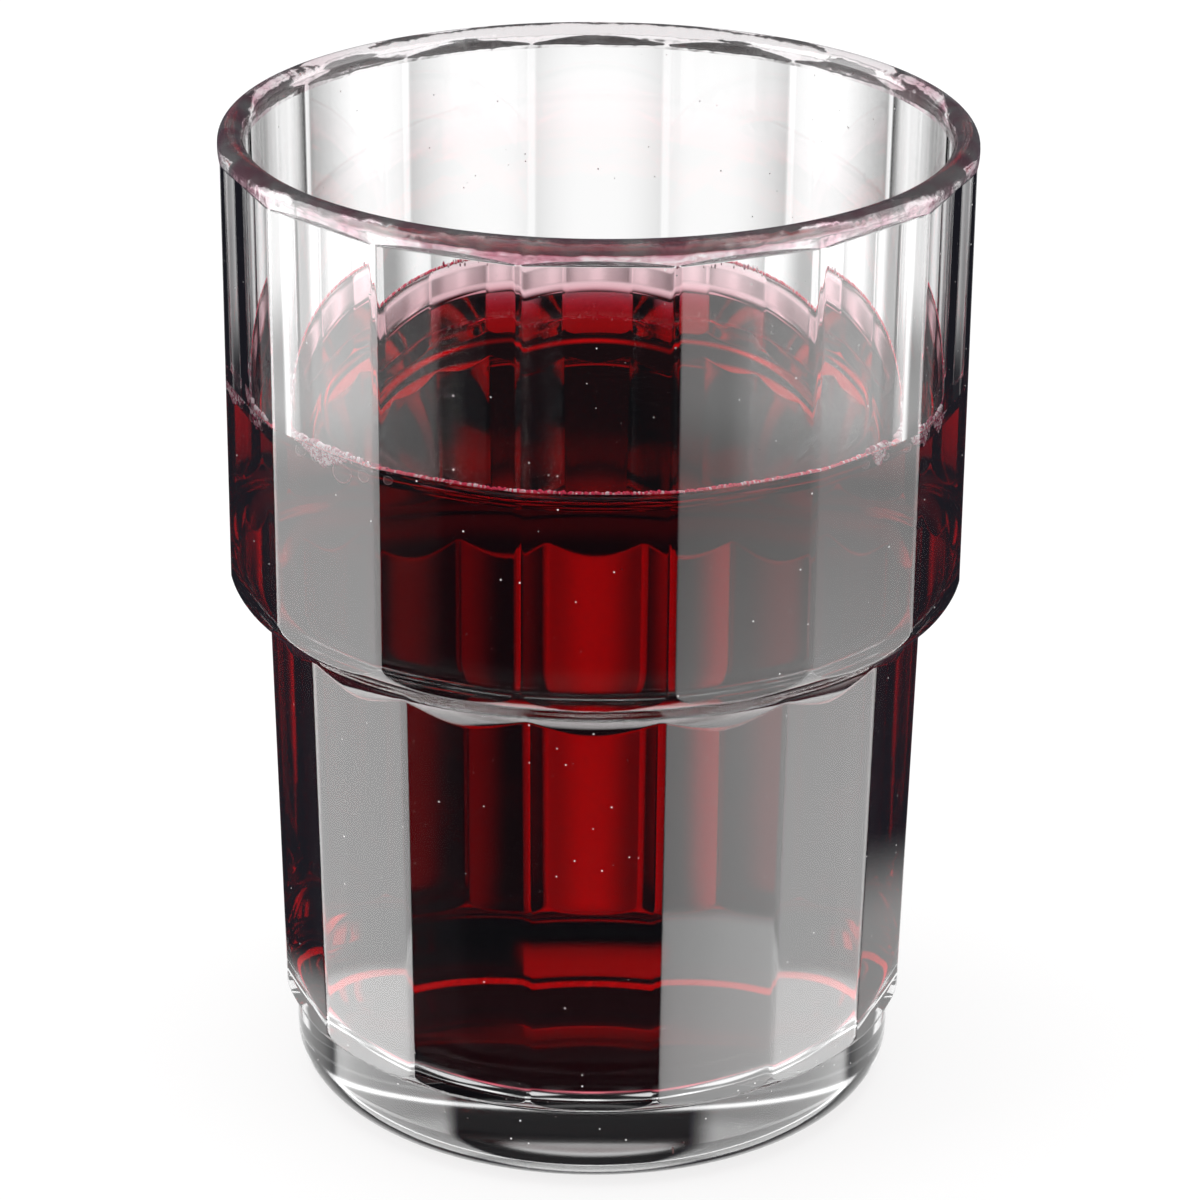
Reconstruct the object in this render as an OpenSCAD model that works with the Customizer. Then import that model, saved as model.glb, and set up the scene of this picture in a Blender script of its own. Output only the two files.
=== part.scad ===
// Juice glass: a pressed, stackable tumbler with flats round its outside,
// filled with red juice that carries a few bubbles at its edge.
// Millimetres, +Z up. The origin is the centre of the ring that the glass stands on,
// and one flat faces the front, along -Y.

/* [Overall] */
// Height from the resting ring to the crest of the lip
height = 88.6; // [80:0.2:100]
// Outside diameter of the round lip
lip_d = 65; // [62:0.5:76]

/* [Lip] */
// Thickness of the full-round lip
lip_t = 2.3; // [1.8:0.1:2.8]
// Height of the plain round band between the crest and the flats
lip_band = 2; // [1.6:0.1:5]

/* [Flats] */
// Number of flats round the glass
flat_count = 16; // [15:1:18]
// Depth of an upper flat, measured in from the round blank
upper_flat_depth = 0.57; // [0.3:0.01:0.6]
// Depth of a lower flat, measured in from the round blank
lower_flat_depth = 0.5; // [0.3:0.01:0.52]
// Slope of the run-out where an upper flat meets the lip, in degrees
runout_angle = 45; // [30:1:60]

/* [Upper wall] */
// How much smaller the upper wall's radius is at the shoulder than at the lip
upper_taper = 0.15; // [0.05:0.05:0.8]
// Wall thickness above the step, measured at a ridge
upper_t = 2.7; // [2.2:0.1:3.2]

/* [Shoulder] */
// Height at which the upper wall starts to turn in
shoulder_z = 49.5; // [44:0.1:54]
// How far the shoulder steps in, on the radius
shoulder_step = 3.4; // [3:0.1:4.5]
// Rounding of the shoulder's lower edge
shoulder_r = 2.6; // [1.8:0.1:2.8]
// Hollow rounding of the neck under the shoulder
neck_fillet = 4.5; // [3.6:0.1:5.4]

/* [Lower wall] */
// How much smaller the lower wall's radius is at its foot than at the neck
lower_taper = 0.85; // [0.3:0.05:1.6]
// Wall thickness below the step, measured at a ridge
lower_t = 2.6; // [2.2:0.1:3.2]
// Rounding of the lower wall's bottom edge
skirt_r = 1.4; // [0.9:0.1:1.6]

/* [Foot] */
// Height of the foot
foot_h = 7.9; // [6:0.1:9]
// How far the foot is set in from the lower wall, on the radius
foot_inset = 1.1; // [0.9:0.05:1.4]
// Rounding of the heel
heel_r = 3.8; // [2:0.1:5]
// Width of the flat ring that the glass stands on
ring_w = 1.6; // [1:0.1:4]
// Height of the hollow under the base
push_up = 1.2; // [0.5:0.1:2.5]

/* [Bowl] */
// Height of the bowl's floor
floor_z = 6.4; // [5:0.1:9]
// Rounding between the floor and the wall
floor_r = 7; // [3:0.5:9]
// How much higher the bowl's wall starts to turn in than the shoulder does outside
step_rise = 1.4; // [0.8:0.1:2.4]
// Hollow rounding at the top of the step
step_corner_r = 3.5; // [2.8:0.1:4.5]
// Rounding at the bottom of the step
step_edge_r = 3.5; // [2.8:0.1:4.5]

/* [Juice] */
// Depth of the empty space between the lip and the level juice
headspace = 25; // [16:0.2:32]
// Height that the juice climbs at the wall
meniscus_h = 3; // [1.6:0.1:3.4]
// Radius of the curve in which it climbs
meniscus_r = 3.6; // [3.4:0.1:4.5]
// Gap between the juice and the glass
wetting_gap = 0.05; // [0.02:0.01:0.2]

/* [Bubbles] */
// Diameter of the largest bubble at the juice's edge
bubble_d = 2.1; // [1.2:0.1:2.6]
// Thickness of the juice film between a bubble and the glass
bubble_film = 0.25; // [0.15:0.01:0.5]

/* [Hidden] */
$fn = 96;

// One overrun serves every cut, and one overlap every union of the same piece.
overrun = 3;
overlap = 3;
// How far the neck fillet bites into the flats, so that it crosses them cleanly
fillet_bite = 0.06;
// How much the bowl trims from the inside of the full-round lip
lip_trim = 0.05;

// Radii of the round blank, at the ridges
lip_r = lip_d / 2;
upper_r = lip_r - upper_taper;
neck_r = upper_r - shoulder_step;
waist_r = neck_r - lower_taper;
foot_r = waist_r - foot_inset;

// Radii of the bowl
mouth_r = lip_r - lip_t + lip_trim;
bowl_r = upper_r - upper_t;
well_top_r = neck_r - lower_t;
well_floor_r = waist_r - lower_t;

// Height of a step of two roundings that pass into each other
function step_drop(r_sum, step_in) = sqrt(pow(r_sum, 2) - pow(r_sum - step_in, 2));

// Heights
lip_round = lip_t / 2;
lip_axis_z = height - lip_round;
neck_cut_r = neck_r - lower_flat_depth - fillet_bite;
neck_z = shoulder_z - step_drop(shoulder_r + neck_fillet, upper_r - neck_cut_r);
skirt_z = foot_h + skirt_r;
step_z = shoulder_z + step_rise;
well_z = step_z - step_drop(step_corner_r + step_edge_r, bowl_r - well_top_r);
juice_level = height - headspace;

// The hollow under the base is a cap of a large sphere.
hollow_r = foot_r - heel_r - ring_w;
hollow_ball_r = (pow(hollow_r, 2) + pow(push_up, 2)) / (2 * push_up);

// Bubbles: azimuth from the front in degrees, left of it negative, and share of bubble_d
bubble_shares = [
    [-76, 0.34], [-70, 0.42], [-65, 0.36], [-54, 0.52], [-50, 0.46], [-44, 1],
    [-38.5, 0.74], [-34.5, 0.44], [47, 0.38], [52, 0.34], [58, 0.42], [63, 0.36]
];
// Share of the meniscus's height at which a bubble's centre floats
bubble_float_share = 0.45;

// Radius of the bowl's upper wall at a height
function bowl_r_at(z) = bowl_r + (mouth_r - bowl_r) * (z - step_z) / (height - step_z);

// Radius of the round blank at a height, upper and lower wall
function upper_r_at(z) = upper_r + upper_taper * (z - shoulder_z) / (lip_axis_z - shoulder_z);
function lower_r_at(z) = waist_r + lower_taper * (z - skirt_z) / (neck_z - skirt_z);

// Repeats its child on every flat, with the flat's outward normal along +X.
module on_each_flat() {
    for (i = [0 : flat_count - 1])
        rotate([0, 0, i * 360 / flat_count - 90])
            children();
}

// A slab whose section is drawn as radius and height
module flat_cutter(section_points, slab_w) {
    rotate([90, 0, 0])
        linear_extrude(height = slab_w, center = true)
            polygon(section_points);
}

// The flats of the upper wall run out on the lip in a slope.
module upper_flats() {
    low_z = neck_z - overrun;
    high_z = height - lip_band;
    low_r = upper_r_at(low_z) - upper_flat_depth;
    high_r = upper_r_at(high_z) - upper_flat_depth;
    far_r = lip_r + overrun;
    section_points = [
        [low_r, low_z],
        [far_r, low_z],
        [far_r, high_z + (far_r - high_r) * tan(runout_angle)],
        [high_r, high_z]
    ];
    on_each_flat()
        flat_cutter(section_points, lip_r);
}

// The flats of the lower wall run past both of its ends.
module lower_flats() {
    low_z = foot_h - overrun;
    high_z = shoulder_z + overrun;
    low_r = lower_r_at(low_z) - lower_flat_depth;
    high_r = lower_r_at(high_z) - lower_flat_depth;
    far_r = neck_r + overrun;
    section_points = [[low_r, low_z], [far_r, low_z], [far_r, high_z], [high_r, high_z]];
    on_each_flat()
        flat_cutter(section_points, neck_r);
}

// Half section of the upper blank: lip, wall, rounded shoulder and neck fillet
module upper_blank_section() {
    shoulder_axis_r = upper_r - shoulder_r;
    neck_axis_r = neck_cut_r + neck_fillet;
    polygon([
        [0, shoulder_z],
        [upper_r, shoulder_z],
        [lip_r, lip_axis_z],
        [0, lip_axis_z]
    ]);
    translate([lip_r - lip_round, lip_axis_z])
        circle(r = lip_round);
    translate([shoulder_axis_r, shoulder_z])
        circle(r = shoulder_r);
    difference() {
        polygon([
            [0, neck_z],
            [neck_axis_r, neck_z],
            [shoulder_axis_r, shoulder_z],
            [0, shoulder_z]
        ]);
        translate([neck_axis_r, neck_z])
            circle(r = neck_fillet);
    }
}

// Half section of the lower blank, which reaches up into the upper one
module lower_blank_section() {
    top_z = neck_z + overlap;
    polygon([
        [0, skirt_z],
        [waist_r, skirt_z],
        [lower_r_at(top_z), top_z],
        [0, top_z]
    ]);
    translate([waist_r - skirt_r, skirt_z])
        circle(r = skirt_r);
    translate([0, foot_h])
        square([waist_r - skirt_r, skirt_r]);
}

// Half section of the foot, which reaches up into the lower wall
module foot_section() {
    translate([0, heel_r])
        square([foot_r, foot_h - heel_r + skirt_r]);
    translate([foot_r - heel_r, heel_r])
        circle(r = heel_r);
    square([foot_r - heel_r, heel_r]);
}

// Half section of the bowl, drawn smaller by a gap for what fills it
module bowl_section(gap) {
    corner_axis_r = bowl_r - step_corner_r;
    edge_axis_r = well_top_r + step_edge_r;
    round_r = floor_r - gap;
    top_z = height + overrun;
    low_z = floor_z + floor_r;
    polygon([
        [0, step_z],
        [bowl_r - gap, step_z],
        [bowl_r_at(top_z) - gap, top_z],
        [0, top_z]
    ]);
    translate([corner_axis_r, step_z])
        circle(r = step_corner_r - gap);
    difference() {
        polygon([
            [0, well_z],
            [edge_axis_r, well_z],
            [corner_axis_r, step_z],
            [0, step_z]
        ]);
        translate([edge_axis_r, well_z])
            circle(r = step_edge_r + gap);
    }
    polygon([
        [0, low_z],
        [well_floor_r - gap, low_z],
        [well_top_r - gap, well_z],
        [0, well_z]
    ]);
    translate([well_floor_r - floor_r, low_z])
        circle(r = round_r);
    translate([0, floor_z + gap])
        square([well_floor_r - floor_r, round_r]);
}

// Half section of the empty space over the juice, with the curve that climbs the wall
module headspace_section() {
    edge_r = bowl_r_at(juice_level + meniscus_h) - wetting_gap;
    level_r = edge_r - sqrt(pow(meniscus_r, 2) - pow(meniscus_r - meniscus_h, 2));
    translate([0, juice_level])
        square([level_r, headspace + overrun]);
    translate([level_r, juice_level + meniscus_r])
        circle(r = meniscus_r);
    translate([0, juice_level + meniscus_r])
        square([lip_r, headspace + overrun]);
}

// The bubbles as balls, each larger by a gap where they press their pockets
module bubble_balls(gap) {
    float_z = juice_level + bubble_float_share * meniscus_h;
    for (place = bubble_shares) {
        ball_r = place[1] * bubble_d / 2;
        rotate([0, 0, place[0] - 90])
            translate([bowl_r_at(float_z) - bubble_film - ball_r, 0, float_z])
                sphere(r = ball_r + gap);
    }
}

module tumbler() {
    color([0.86, 0.89, 0.9, 0.4])
        difference() {
            union() {
                difference() {
                    rotate_extrude() upper_blank_section();
                    upper_flats();
                }
                difference() {
                    rotate_extrude() lower_blank_section();
                    lower_flats();
                }
                rotate_extrude() foot_section();
            }
            rotate_extrude() bowl_section(0);
            translate([0, 0, push_up - hollow_ball_r])
                sphere(r = hollow_ball_r);
        }
}

// The juice fits the bowl, and each bubble floats in a pocket of it.
module juice() {
    color([0.32, 0.01, 0.04, 0.95])
        difference() {
            rotate_extrude()
                difference() {
                    bowl_section(wetting_gap);
                    headspace_section();
                }
            bubble_balls(wetting_gap);
        }
}

module bubbles() {
    color([0.93, 0.72, 0.78, 0.5])
        bubble_balls(0);
}

tumbler();
juice();
bubbles();
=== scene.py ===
# %% [markdown]
# # A juice glass, dressed in Blender
#
# The real object is a pressed glass tumbler with flats round its outside, two thirds full of
# dark red juice. Almost everything that the eye sees on it is light that bent or bounced, so
# this lesson is mostly about true shapes, true refraction and a well planned studio.

# %% Load the frame
import math
import random

import bmesh
import bpy
import numpy as np
from mathutils import Matrix, Vector


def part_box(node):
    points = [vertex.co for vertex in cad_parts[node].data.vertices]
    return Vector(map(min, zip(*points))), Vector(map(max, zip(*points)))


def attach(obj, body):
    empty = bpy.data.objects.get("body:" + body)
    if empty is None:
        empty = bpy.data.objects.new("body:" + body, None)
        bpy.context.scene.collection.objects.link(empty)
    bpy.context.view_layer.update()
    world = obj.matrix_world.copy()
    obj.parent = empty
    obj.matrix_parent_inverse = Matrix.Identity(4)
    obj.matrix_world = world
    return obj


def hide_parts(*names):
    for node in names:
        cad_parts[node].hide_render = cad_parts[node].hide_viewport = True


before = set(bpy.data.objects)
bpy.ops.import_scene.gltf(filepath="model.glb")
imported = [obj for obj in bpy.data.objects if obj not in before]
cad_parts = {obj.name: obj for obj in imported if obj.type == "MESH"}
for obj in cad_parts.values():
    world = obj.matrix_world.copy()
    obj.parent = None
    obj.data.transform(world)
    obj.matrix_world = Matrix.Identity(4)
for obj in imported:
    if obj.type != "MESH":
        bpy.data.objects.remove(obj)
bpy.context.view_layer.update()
_, tumbler_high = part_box("tumbler")
_, juice_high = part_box("juice")

# %% [markdown]
# ## Camera
#
# The picture was taken from a little above, at arm's length, with a long lens. The three small
# turns are the photographer's own: the frame is not perfectly level or centred. A lens shift
# could centre it as well, but turning the camera keeps other views free of it.

# %% Camera
MM = 0.001
CAMERA_DISTANCE = 424 * MM
CAMERA_ELEVATION = math.radians(22.75)
CAMERA_AIM_Z = 44.2 * MM
CAMERA_TURNS = (("Y", -0.058), ("X", 0.044), ("Z", 0.445))
LENS_MM = 143.2
SENSOR_MM = 36
NEAREST_SEEN = 10 * MM


def place_camera():
    """A camera in front of the glass, looking along +Y and down."""
    data = bpy.data.cameras.new("photo_camera")
    data.lens = LENS_MM
    data.sensor_width = SENSOR_MM
    data.clip_start = NEAREST_SEEN
    camera = bpy.data.objects.new("photo_camera", data)
    bpy.context.scene.collection.objects.link(camera)
    back = Vector((0, -math.cos(CAMERA_ELEVATION), math.sin(CAMERA_ELEVATION)))
    turned = Matrix.Rotation(math.pi / 2 - CAMERA_ELEVATION, 3, "X")
    for axis, degrees in CAMERA_TURNS:
        turned = turned @ Matrix.Rotation(math.radians(degrees), 3, axis)
    camera.matrix_world = turned.to_4x4()
    camera.location = Vector((0, 0, CAMERA_AIM_Z)) + back * CAMERA_DISTANCE
    bpy.context.scene.camera = camera
    return camera


photo_camera = place_camera()
print("camera at", [round(v, 3) for v in photo_camera.location])

# %% [markdown]
# ## Writing shader maths
#
# A shader is a graph of nodes, and a graph is hard to read as code. `Wire` wraps one output
# socket and adds a Math node for each operator, so that a formula looks like a formula.
# `Board.add` makes every other node: its type, then its settings, then its sockets.


# %% Wire and Board
class Wire:
    """One output socket, with arithmetic that adds Math nodes to its board."""

    def __init__(self, board, socket):
        self.board = board
        self.socket = socket

    def maths(self, operation, *terms):
        """A Math node of any kind, on wires or numbers."""
        return self.board.add("ShaderNodeMath", {"operation": operation}, dict(enumerate(terms)))

    def __add__(self, other):
        return self.maths("ADD", self, other)

    def __radd__(self, other):
        return self.maths("ADD", other, self)

    def __sub__(self, other):
        return self.maths("SUBTRACT", self, other)

    def __rsub__(self, other):
        return self.maths("SUBTRACT", other, self)

    def __mul__(self, other):
        return self.maths("MULTIPLY", self, other)

    def __rmul__(self, other):
        return self.maths("MULTIPLY", other, self)

    def __truediv__(self, other):
        return self.maths("DIVIDE", self, other)

    def __rtruediv__(self, other):
        return self.maths("DIVIDE", other, self)

    def beside(self, name):
        """Another output of the same node."""
        return Wire(self.board, self.socket.node.outputs[name])


class Board:
    """The node graph of one material or of the world."""

    def __init__(self, owner):
        owner.use_nodes = True
        self.graph = owner.node_tree
        self.graph.nodes.clear()

    def add(self, kind, settings=None, sockets=None, output=0):
        """One node, with its settings made before its sockets are filled or linked."""
        node = self.graph.nodes.new(kind)
        for name, value in (settings or {}).items():
            setattr(node, name, value)
        for key, value in (sockets or {}).items():
            if isinstance(value, Wire):
                self.graph.links.new(value.socket, node.inputs[key])
            else:
                node.inputs[key].default_value = value
        return Wire(self, node.outputs[output]) if node.outputs else None


print("wires and boards ready")

# %% [markdown]
# ## Three helpers for shaders
#
# Most masks here are soft steps. A Map Range node set to Smooth Step makes one, and two of them
# multiplied make a band with soft edges. `blend` goes from one value to another by a share.


# %% Soft steps
def ramp(value, start, stop, low=0, high=1):
    """The low value at start and the high one at stop, smooth between."""
    sockets = {"Value": value, "From Min": start, "From Max": stop, "To Min": low, "To Max": high}
    return value.board.add("ShaderNodeMapRange", {"interpolation_type": "SMOOTHSTEP"}, sockets)


def band(value, marks):
    """1 between the two inner marks, fading to 0 at the outer ones."""
    return ramp(value, marks[0], marks[1]) * ramp(value, marks[3], marks[2])


def blend(low, high, share):
    """The low value at a share of 0, and the high one at 1."""
    return low + (high - low) * share


print("shader helpers ready")

# %% [markdown]
# ## The sizes of the glass
#
# The CAD frame gives the overall box. The pressed form has a few more sizes, the same as in the
# CAD source: the lip, the flats, the shoulder, the foot and the bowl. Everything below is worked
# out from them, in metres.

# %% Sizes
HEIGHT = tumbler_high.z
LIP_R = tumbler_high.x
LIP_ROUND = 1.15 * MM
LIP_BAND = 2.0 * MM
LIP_TRIM = 0.05 * MM
FLAT_COUNT = 16
UPPER_FLAT = 0.57 * MM
LOWER_FLAT = 0.5 * MM
UPPER_TAPER = 0.15 * MM
UPPER_T = 2.7 * MM
SHOULDER_Z = 49.5 * MM
SHOULDER_STEP = 3.4 * MM
SHOULDER_R = 2.6 * MM
NECK_FILLET = 4.5 * MM
NECK_BITE = 0.06 * MM
LOWER_TAPER = 0.85 * MM
LOWER_T = 2.6 * MM
SKIRT_R = 1.4 * MM
FOOT_H = 7.9 * MM
FOOT_INSET = 1.1 * MM
HEEL_R = 3.8 * MM
RING_W = 1.6 * MM
PUSH_UP = 1.2 * MM
FLOOR_Z = 6.4 * MM
FLOOR_R = 7.0 * MM
STEP_RISE = 1.4 * MM
STEP_CORNER_R = 3.5 * MM
STEP_EDGE_R = 3.5 * MM
MENISCUS_H = 3.0 * MM
print(f"lip radius {LIP_R / MM:.1f} mm, height {HEIGHT / MM:.1f} mm")


# %% Sizes worked out
def step_turn(r_sum, step_in):
    """How far, in degrees, two roundings turn that pass into each other in a step."""
    return math.degrees(math.acos(1 - step_in / r_sum))


def step_drop(r_sum, step_in):
    """Height of such a step."""
    return r_sum * math.sin(math.radians(step_turn(r_sum, step_in)))


UPPER_R = LIP_R - UPPER_TAPER
NECK_R = UPPER_R - SHOULDER_STEP
NECK_CUT_R = NECK_R - LOWER_FLAT - NECK_BITE
WAIST_R = NECK_R - LOWER_TAPER
FOOT_R = WAIST_R - FOOT_INSET
HOLLOW_R = FOOT_R - HEEL_R - RING_W
LIP_AXIS_Z = HEIGHT - LIP_ROUND
SKIRT_Z = FOOT_H + SKIRT_R
STEP_Z = SHOULDER_Z + STEP_RISE
MOUTH_R = LIP_R - 2 * LIP_ROUND + LIP_TRIM
BOWL_R = UPPER_R - UPPER_T
WELL_TOP_R = NECK_R - LOWER_T
WELL_FLOOR_R = WAIST_R - LOWER_T
NECK_TURN = step_turn(SHOULDER_R + NECK_FILLET, UPPER_R - NECK_CUT_R)
NECK_Z = SHOULDER_Z - step_drop(SHOULDER_R + NECK_FILLET, UPPER_R - NECK_CUT_R)
WELL_TURN = step_turn(STEP_CORNER_R + STEP_EDGE_R, BOWL_R - WELL_TOP_R)
WELL_Z = STEP_Z - step_drop(STEP_CORNER_R + STEP_EDGE_R, BOWL_R - WELL_TOP_R)
CONTACT_Z = juice_high.z
JUICE_LEVEL = CONTACT_Z - MENISCUS_H
print(f"neck at {NECK_Z / MM:.1f} mm, juice level at {JUICE_LEVEL / MM:.1f} mm")

# %% [markdown]
# ## Drawing a profile
#
# A profile is a list of radius and height. It is put together from arcs and straight stretches
# that share their end points, the way a draughtsman draws a turned piece. The points lie closer
# together near the ends of a stretch, where the surface starts to bend.


# %% Pieces of a profile
def upper_blank(z):
    """Radius of the round blank on the upper wall."""
    return UPPER_R + (LIP_R - UPPER_R) * (z - SHOULDER_Z) / (LIP_AXIS_Z - SHOULDER_Z)


def bowl_wall(z):
    """Radius of the bowl's upper wall."""
    return BOWL_R + (MOUTH_R - BOWL_R) * (z - STEP_Z) / (HEIGHT - STEP_Z)


def arc(centre_r, centre_z, radius, start, stop, count):
    """Points on an arc, with its angles in degrees from the outward direction."""
    turn = np.radians(np.linspace(start, stop, count + 1))
    return np.column_stack([centre_r + radius * np.cos(turn), centre_z + radius * np.sin(turn)])


def line(start, stop, count):
    """Points on a straight stretch, closer together near both ends."""
    share = (1 - np.cos(np.linspace(0, np.pi, count + 1))) / 2
    return np.array(start) + (np.array(stop) - np.array(start)) * share[:, None]


def joined(*stretches):
    """One profile out of stretches that share their end points."""
    return np.vstack([stretches[0]] + [part[1:] for part in stretches[1:]])


def cut_turn(cut_r, outer_r, radius):
    """Degrees along a rounding to where it has come in to a given distance from the axis."""
    return math.degrees(math.acos((cut_r - outer_r + radius) / radius))


print("bowl radius at the juice's edge:", round(bowl_wall(CONTACT_Z) / MM, 2), "mm")

# %% [markdown]
# ## The outside of the glass
#
# A pressed tumbler is a round blank with sixteen flats cut into it. A boolean would make the
# flats, but its triangles shade badly in clear glass. Here each column of the mesh gets its own
# profile instead: at an angle from the middle of a flat, the wall is the smaller of the round
# blank and the plane of the flat. The rows follow the scallops where a flat runs out on the lip,
# the shoulder and the skirt, so that these edges are crisp without many faces.

# %% Outside profile
LEAST_RUNOUT = 0.02 * MM
ROUND_STEPS = 14
BAND_STEPS = 5
UPPER_STEPS = 26
LOWER_STEPS = 28
SKIRT_STEPS = 10
FOOT_STEPS = 6
RING_STEPS = 2
HOLLOW_STEPS = 10


def upper_outside(spread):
    """Lip, run-out of the flat, upper wall and shoulder."""
    run_z = HEIGHT - LIP_BAND
    run_r = (upper_blank(run_z) - UPPER_FLAT) * spread
    run_depth = max(upper_blank(run_z) - run_r, LEAST_RUNOUT)
    slope_top = (upper_blank(run_z + run_depth), run_z + run_depth)
    slope_foot = (min(upper_blank(run_z), run_r), run_z)
    cut_r = min((UPPER_R - UPPER_FLAT) * spread, UPPER_R)
    start = -cut_turn(cut_r, UPPER_R, SHOULDER_R)
    lip = arc(LIP_R - LIP_ROUND, LIP_AXIS_Z, LIP_ROUND, 90, 0, ROUND_STEPS)
    plain = line(lip[-1], slope_top, BAND_STEPS)
    slope = line(slope_top, slope_foot, BAND_STEPS)
    shoulder_r = UPPER_R - SHOULDER_R
    shoulder = arc(shoulder_r, SHOULDER_Z, SHOULDER_R, start, -NECK_TURN, ROUND_STEPS)
    wall = line(slope_foot, shoulder[0], UPPER_STEPS)
    return joined(lip, plain, slope, wall, shoulder)


def lower_outside(spread):
    """Hollow neck, lower wall and the rounding of its skirt."""
    neck_cut = min((NECK_R - LOWER_FLAT) * spread, NECK_R)
    neck_stop = math.degrees(math.acos((neck_cut - NECK_CUT_R - NECK_FILLET) / NECK_FILLET))
    neck_r = NECK_CUT_R + NECK_FILLET
    neck = arc(neck_r, NECK_Z, NECK_FILLET, 180 - NECK_TURN, neck_stop, ROUND_STEPS)
    skirt_cut = min((WAIST_R - LOWER_FLAT) * spread, WAIST_R)
    start = -cut_turn(skirt_cut, WAIST_R, SKIRT_R)
    stop = -cut_turn(FOOT_R, WAIST_R, SKIRT_R)
    skirt = arc(WAIST_R - SKIRT_R, SKIRT_Z, SKIRT_R, start, stop, SKIRT_STEPS)
    return joined(neck, line(neck[-1], skirt[0], LOWER_STEPS), skirt)


def base_outside(start):
    """Foot, heel, resting ring and the hollow under the base."""
    foot = line(start, (FOOT_R, HEEL_R), FOOT_STEPS)
    heel = arc(FOOT_R - HEEL_R, HEEL_R, HEEL_R, 0, -90, ROUND_STEPS)
    ring = line(heel[-1], (HOLLOW_R, 0), RING_STEPS)
    cap_r = (HOLLOW_R**2 + PUSH_UP**2) / (2 * PUSH_UP)
    cap_turn = math.degrees(math.asin(HOLLOW_R / cap_r))
    hollow = arc(0, PUSH_UP - cap_r, cap_r, 90 - cap_turn, 90, HOLLOW_STEPS)
    return joined(foot, heel, ring, hollow)


def outside_profile(turn):
    """Radius and height down the outside, at an angle from the middle of a flat."""
    spread = 1 / math.cos(turn)
    lower = lower_outside(spread)
    return joined(upper_outside(spread), lower, base_outside(lower[-1]))


print("rows down the outside:", len(outside_profile(0)))

# %% [markdown]
# ## The inside of the glass
#
# The plunger of the press is round, so the bowl has no flats. It has a ledge where the next glass
# in a stack comes to rest. The stretch below the juice's edge is listed apart, because light
# bends less between glass and juice than between glass and air.

# %% Inside profile
LIP_JOIN_TURN = 165
LIP_JOIN_STEPS = 10
MOUTH_STEPS = 3
DRY_STEPS = 16
WET_STEPS = 12
WELL_STEPS = 20
ROUNDING_STEPS = 16
FLOOR_STEPS = 10


def inside_profile():
    """Radius and height down the inside, and the row at which the juice begins."""
    lip_r = LIP_R - LIP_ROUND
    lip_join = arc(lip_r, LIP_AXIS_Z, LIP_ROUND, 90, LIP_JOIN_TURN, LIP_JOIN_STEPS)
    dry_z = lip_join[-1][1] - LIP_ROUND
    dry_top = (bowl_wall(dry_z), dry_z)
    dry = line(dry_top, (bowl_wall(CONTACT_Z), CONTACT_Z), DRY_STEPS)
    wet = line(dry[-1], (BOWL_R, STEP_Z), WET_STEPS)
    corner = arc(BOWL_R - STEP_CORNER_R, STEP_Z, STEP_CORNER_R, 0, -WELL_TURN, WET_STEPS)
    edge = arc(WELL_TOP_R + STEP_EDGE_R, WELL_Z, STEP_EDGE_R, 180 - WELL_TURN, 180, WET_STEPS)
    floor_r = WELL_FLOOR_R - FLOOR_R
    rounding = arc(floor_r, FLOOR_Z + FLOOR_R, FLOOR_R, 0, -90, ROUNDING_STEPS)
    well = line(edge[-1], rounding[0], WELL_STEPS)
    floor = line(rounding[-1], (0, FLOOR_Z), FLOOR_STEPS)
    above = joined(lip_join, line(lip_join[-1], dry_top, MOUTH_STEPS), dry)
    below = joined(wet, corner, edge, well, rounding, floor)
    return joined(above, below), len(above) - 1


inside_rows, contact_row = inside_profile()
print("rows down the inside:", len(inside_rows), "of which dry:", contact_row)

# %% [markdown]
# ## Turning profiles into a mesh
#
# The columns stand close together at the ridges between flats and far apart on the flats, where
# nothing bends. `turned_mesh` joins any set of column profiles into a closed skin, with one
# vertex at each end on the axis. Blender's Screw modifier also turns profiles, but only one
# profile at a time, and a flat needs a different one at each angle.

# %% Columns and lathe
RIDGE_TURN = 180 / FLAT_COUNT
COLUMN_SHARES = (0, 0.22, 0.44, 0.62, 0.76, 0.86, 0.915, 0.945, 0.965, 0.985)


def column_turns():
    """Angles of all the columns from the front, and each one's angle from its flat's middle."""
    half = [share * RIDGE_TURN for share in COLUMN_SHARES]
    own = [-turn for turn in reversed(half[1:])] + half + [RIDGE_TURN]
    angles = [i * 2 * RIDGE_TURN + turn for i in range(FLAT_COUNT) for turn in own]
    return np.radians(angles), np.radians(np.tile(own, FLAT_COUNT))


def add_piece(name, points, faces):
    """A new object with a smooth mesh of these points and faces."""
    mesh = bpy.data.meshes.new(name)
    mesh.from_pydata(points, [], faces)
    mesh.shade_smooth()
    piece = bpy.data.objects.new(name, mesh)
    bpy.context.scene.collection.objects.link(piece)
    return piece


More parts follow.
